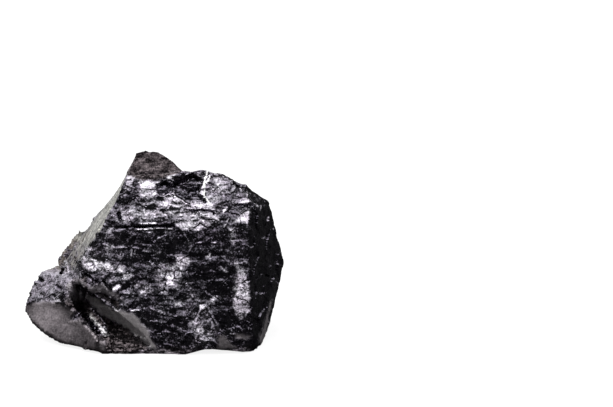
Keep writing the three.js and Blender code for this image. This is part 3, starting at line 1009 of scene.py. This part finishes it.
class Nodes:
    """The node tree of a material or a world, under construction."""

    def __init__(self, owner):
        owner.use_nodes = True
        self.tree = owner.node_tree
        self.tree.nodes.clear()

    def link(self, socket, value):
        """Gives an input socket a value or a link."""
        if isinstance(value, Socket):
            self.tree.links.new(value.output, socket)
        else:
            socket.default_value = value

    def add(self, kind, settings=None, inputs=None, output=0):
        """Adds a node: its settings first, then its inputs, and gives back one of its outputs."""
        node = self.tree.nodes.new(kind)
        for name, value in (settings or {}).items():
            setattr(node, name, value)
        for name, value in (inputs or {}).items():
            self.link(node.inputs[name], value)
        return Socket(self, node.outputs[output]) if node.outputs else node

    def weight(self, name):
        """One of the weights stored on the mesh."""
        return self.add("ShaderNodeAttribute", {"attribute_name": name}, output="Fac")

    def vector(self, operation, *values):
        """Vector maths that gives a vector."""
        return self.add("ShaderNodeVectorMath", {"operation": operation}, dict(enumerate(values)))

    def vector_value(self, operation, *values):
        """Vector maths that gives a number."""
        inputs = dict(enumerate(values))
        return self.add("ShaderNodeVectorMath", {"operation": operation}, inputs, "Value")

    def scaled(self, vector, scale):
        """A vector or colour times a number."""
        return self.add("ShaderNodeVectorMath", {"operation": "SCALE"}, {0: vector, "Scale": scale})

    def grained(self, colour, shade, grain):
        """A colour between its darkest and its lightest grain."""
        darkest, lightest = grain
        return self.scaled(colour, darkest + shade * (lightest - darkest))

    def stretched(self, place, scale):
        """Places for a pattern that is drawn out where the scale is small."""
        return self.add("ShaderNodeMapping", None, {"Vector": place, "Scale": scale})

    def colours(self, factor, a, b):
        """Mixes two colours."""
        inputs = {0: factor, 6: a, 7: b}  # 6 and 7 are the colours, and output 2 is their mix
        return self.add("ShaderNodeMix", {"data_type": "RGBA"}, inputs, 2)

    def height(self, place):
        """The height of a place."""
        return self.add("ShaderNodeSeparateXYZ", None, {"Vector": place}, "Z")

    def smooth_rise(self, value, low, high):
        """0 up to low, 1 from high, and a smooth rise between."""
        inputs = {"Value": value, "From Min": low, "From Max": high}
        return self.add("ShaderNodeMapRange", {"interpolation_type": "SMOOTHSTEP"}, inputs)

    def as_seen(self, lit, seen):
        """One shader for the camera's rays, and another that lights the rest."""
        camera_ray = self.add("ShaderNodeLightPath", output="Is Camera Ray")
        return self.add("ShaderNodeMixShader", None, {0: camera_ray, 1: lit, 2: seen})

    def noise(self, place, texture, output="Fac"):
        """Noise, about 0.5 on the whole."""
        inputs = {
            "Vector": place,
            "Scale": texture.scale,
            "Detail": texture.detail,
            "Roughness": texture.roughness,
        }
        return self.add("ShaderNodeTexNoise", None, inputs, output)

    def noise_lean(self, place, texture):
        """Noise in three directions, about 0 on the whole."""
        return self.vector("SUBTRACT", self.noise(place, texture, "Color"), HALF)

    def crease(self, place, texture):
        """1 along thin curved lines, where the noise crosses its middle, and 0 beside them."""
        away = (self.noise(place, texture) - 0.5).math("ABSOLUTE")
        return (1.0 - away * CREASE_SHARPNESS).math("MAXIMUM", 0.0)

    def facets(self, place, scale):
        """Cells that each lean their own way, about 0 on the whole."""
        cells = self.add("ShaderNodeTexVoronoi", None, {"Vector": place, "Scale": scale}, "Color")
        return self.vector("SUBTRACT", cells, HALF)


def blended(shares, *sockets):
    """The sum of some sockets, each times its share."""
    return sum(socket * share for socket, share in zip(sockets, shares))


def opaque(colour, brightness=1.0):
    """A colour times a brightness, with its alpha."""
    return (*(brightness * part for part in colour), 1.0)


def flake_facing(n, place, weight, brightness):
    """The way the flakes face: a lean that follows the sheen, broken up at three sizes and creased."""
    layered = n.stretched(place, ALONG_LAYERS)
    standing = n.stretched(place, UP_THE_FACE)
    upright, satin, strip = weight["upright"], weight["satin"], weight["strip"]

    streaks = n.colours(
        STANDING_SHARE + upright * UPRIGHT_SHARE,
        n.noise_lean(layered, STREAKS),
        n.noise_lean(standing, UPRIGHT_STREAKS),
    )
    fine = n.noise_lean(place, GLINTS)
    glints = n.scaled(fine, n.vector_value("LENGTH", fine) * GLINT_PEAK)
    lively = (1.0 - satin * SATIN_CALM) * (1.0 - strip * STRIP_CALM)
    swirl = (SWIRL + brightness * BRIGHT_SWIRL) * lively
    facets = n.scaled(n.facets(layered, FACETS), swirl * FACET_SWIRL)
    uneven = n.vector("ADD", facets, n.scaled(glints, lively * GLINT_SWIRL))
    uneven = n.vector("ADD", uneven, n.scaled(streaks, swirl * (1.0 - upright * UPRIGHT_CALM)))
    facing = n.add("ShaderNodeNewGeometry", output="Normal")
    smooth = n.colours(strip * STRIP_EVENNESS, facing, opaque(STRIP_FACING))
    raised = n.add("ShaderNodeCombineXYZ", None, {"Z": weight["lean"]})
    turned = n.vector("NORMALIZE", n.vector("ADD", smooth, n.vector("ADD", raised, uneven)))

    creases = n.crease(layered, CREASES) * LAYERED_CREASES + n.crease(standing, UPRIGHT_CREASES) * upright
    scratches = n.noise(n.stretched(place, SCRATCH_STRETCH), SCRATCHES)
    height = scratches * SCRATCH_SHARE + creases * (1.0 - satin * SATIN_CREASE_LOSS) * CREASE_SHARE
    bump = {"Strength": BUMP_STRENGTH, "Distance": SCRATCH_DEPTH, "Height": height, "Normal": turned}
    return n.add("ShaderNodeBump", None, bump)


def side_colour(n, place, shade, finish):
    """The pale long side: threads of thin layers under patches of grime."""
    slope = {"Vector": place, "Rotation": (0.0, STRIP_SLOPE, 0.0), "Scale": THREAD_STRETCH}
    threads = n.noise(n.add("ShaderNodeMapping", {"vector_type": "TEXTURE"}, slope), THREADS)
    # Darker in patches and towards the lower end; the paler colour above is partly a painted reflection.
    patches = (n.noise(place, GRIME) - GRIME_START) * GRIME_GAIN
    darker_side = (patches + (SIDE_DARKENS_BELOW - n.height(place)) * SIDE_DARKENING).clamped()
    side = n.colours(darker_side, opaque(finish.pale), opaque(finish.darker_side))
    gap = n.scaled(side, THREAD_GAP)
    return n.colours(threads.spread(*THREAD_SPREAD), gap, n.grained(side, shade, THREAD_GRAIN))


def body_colour(n, place, weight, brightness, mottle, finish):
    """The mirror colour of the flakes, under satin, breaks, the pale side and the vein."""
    brushed = n.noise(n.stretched(place, BRUSH_STRETCH), BRUSHING)
    grit = n.noise(place, GRIT)
    shade = blended(SHADE_MIX, mottle, brushed, grit).spread(*SHADE_SPREAD)
    rubble = blended(RUBBLE_MIX, mottle, grit).spread(*RUBBLE_SPREAD)

    tinge = n.colours(n.noise(place, TINGE).spread(*TINGE_SPREAD), WHITE, opaque(finish.plum))
    # Painted highlight and shade: the sheen moves the mirror colour from its shaded copy to its lit one.
    mirror = n.vector("MULTIPLY", n.colours(brightness, opaque(finish.shaded_mirror), opaque(finish.lit_mirror)), tinge)
    mirror = n.grained(mirror, shade, MIRROR_GRAIN)
    plain = n.colours(weight["dust"], opaque(finish.satin), opaque(finish.dust))
    broken = n.colours(rubble, *(opaque(finish.brown_and_shade, share) for share in BROKEN_GRAIN))
    body = n.colours(weight["satin"], mirror, n.grained(plain, shade, PLAIN_GRAIN))
    body = n.colours(weight["brown_and_shade"], body, broken)
    body = n.colours(weight["strip"], body, side_colour(n, place, shade, finish))
    return n.colours(weight["vein_and_glint"], body, opaque(finish.vein_and_glint))


def graphite_material(finish):
    """Near black flakes that mirror the studio, satin cleavages, brown breaks and a pale side."""
    material = bpy.data.materials.new("graphite")
    n = Nodes(material)
    place = n.add("ShaderNodeTexCoord", output="Object")
    names = ("sheen", "satin", "dust", "brown_and_shade", "strip", "vein_and_glint", "lean", "upright")
    weight = {name: n.weight(name) for name in names}
    mottle = n.noise(place, MOTTLE)
    uneven = mottle - 0.5
    # Brightness: painted highlight and shade in the mirror colour, and also roughness and unevenness.
    sheen = weight["sheen"].math("MAXIMUM", 0.0) ** SHEEN_CONTRAST * SHEEN_GAIN
    brightness = (sheen + uneven * SHEEN_MOTTLE).clamped()
    dullness = blended(DULLNESS, weight["satin"], weight["brown_and_shade"], weight["strip"], uneven)
    unmetallic = (weight["dust"] + weight["vein_and_glint"]) * EARTHY_SHARE
    principled = {
        "Base Color": body_colour(n, place, weight, brightness, mottle, finish),
        "Metallic": (1.0 - unmetallic).clamped(),
        "Roughness": (FLAKE_ROUGHNESS + brightness * BRIGHT_ROUGHNESS + dullness).clamped(),
        "IOR": REFRACTION,
        "Normal": flake_facing(n, place, weight, brightness),
    }
    shader = n.add("ShaderNodeBsdfPrincipled", None, principled)
    n.add("ShaderNodeOutputMaterial", None, {"Surface": shader})
    return material


# ---- the stage ----


def floor_material(colour):
    """A pale floor, lit through from below, that gives the stone back little light."""
    material = bpy.data.materials.new("floor")
    n = Nodes(material)
    pale = n.add("ShaderNodeBsdfDiffuse", None, {"Color": opaque(colour)})
    dim = n.add("ShaderNodeBsdfDiffuse", None, {"Color": opaque(colour, FLOOR_BOUNCE)})
    glow = n.add("ShaderNodeEmission", None, {"Color": WHITE})
    bright = n.add("ShaderNodeMixShader", None, {0: FLOOR_GLOW, 1: pale, 2: glow})
    n.add("ShaderNodeOutputMaterial", None, {"Surface": n.as_seen(dim, bright)})
    return material


def add_floor(scene, colour):
    """A wide flat floor, which belongs to the stage."""
    bm = bmesh.new()
    bmesh.ops.create_grid(bm, x_segments=1, y_segments=1, size=FLOOR_REACH)
    mesh = mesh_from(bm, "floor")
    mesh.materials.append(floor_material(colour))
    floor = placed(scene, "floor", mesh)


def add_key(scene, power):
    """A square light over the stone."""
    data = bpy.data.lights.new("key", "AREA")
    data.shape = "RECTANGLE"
    data.size, data.size_y = KEY_SIZE
    data.energy = power
    light = placed(scene, "key", data)
    light.location = KEY_PLACE
    light.rotation_euler = (KEY_TARGET - Vector(KEY_PLACE)).to_track_quat("-Z", "Y").to_euler()


def add_world(scene, studio):
    """Soft light from above and a card at the left, round a stage that is dark lower down."""
    world = bpy.data.worlds.new("studio")
    n = Nodes(world)
    direction = n.add("ShaderNodeTexCoord", output="Generated")
    above = n.smooth_rise(n.height(direction), SKY_START, SKY_FULL)
    card = n.smooth_rise(n.vector_value("DOT_PRODUCT", direction, CARD_DIRECTION), *CARD_EDGE)
    strength = studio.fill + above * studio.overhead + card * studio.card
    light = n.add("ShaderNodeBackground", None, {"Color": WHITE, "Strength": strength})
    backdrop = n.add("ShaderNodeBackground", None, {"Color": opaque(studio.backdrop), "Strength": 1.0})
    n.add("ShaderNodeOutputWorld", None, {"Surface": n.as_seen(light, backdrop)})
    scene.world = world


def add_camera(scene):
    """The camera at the viewpoint, level from side to side."""
    data = bpy.data.cameras.new("camera")
    data.lens = LENS_MM
    data.clip_start = NEAREST_SEEN
    camera = placed(scene, "camera", data)
    camera.location = VIEWPOINT
    camera.rotation_euler = FORWARD.to_track_quat("-Z", "Y").to_euler()
    scene.camera = camera


class GRAPHITE_OT_stage(bpy.types.Operator):
    """Set the stage: the camera, the pale floor, the lights and the backdrop"""

    bl_idname = "graphite.stage"
    bl_label = "Stage"

    def execute(self, context):
        scene = context.scene
        studio = scene.graphite_studio
        add_camera(scene)
        add_floor(scene, studio.floor)
        add_key(scene, studio.key)
        add_world(scene, studio)
        scene.view_settings.view_transform = "Standard"
        return {"FINISHED"}


class GRAPHITE_PT_panel(bpy.types.Panel):
    """The makers and their settings"""

    bl_label = "Graphite"
    bl_idname = "GRAPHITE_PT_panel"
    bl_space_type = "VIEW_3D"
    bl_region_type = "UI"
    bl_category = "Graphite"

    def draw(self, context):
        for group in GROUPS:
            box = self.layout.box()
            for name in GROUPS[group].__annotations__:
                box.prop(getattr(context.scene, group), name)
        self.layout.operator(GRAPHITE_OT_stage.bl_idname)
        self.layout.operator(GRAPHITE_OT_stone.bl_idname)


GROUPS = {
    "graphite_surface": GraphiteSurface,
    "graphite_finish": GraphiteFinish,
    "graphite_studio": GraphiteStudio,
}
CLASSES = (*GROUPS.values(), GRAPHITE_OT_stage, GRAPHITE_OT_stone, GRAPHITE_PT_panel)


def register():
    for cls in CLASSES:
        bpy.utils.register_class(cls)
    for name, group in GROUPS.items():
        setattr(bpy.types.Scene, name, bpy.props.PointerProperty(type=group))


def unregister():
    for name in GROUPS:
        delattr(bpy.types.Scene, name)
    for cls in reversed(CLASSES):
        bpy.utils.unregister_class(cls)


def main():
    register()
    bpy.ops.graphite.stage()
    bpy.ops.graphite.stone()


if __name__ == "__main__":
    main()
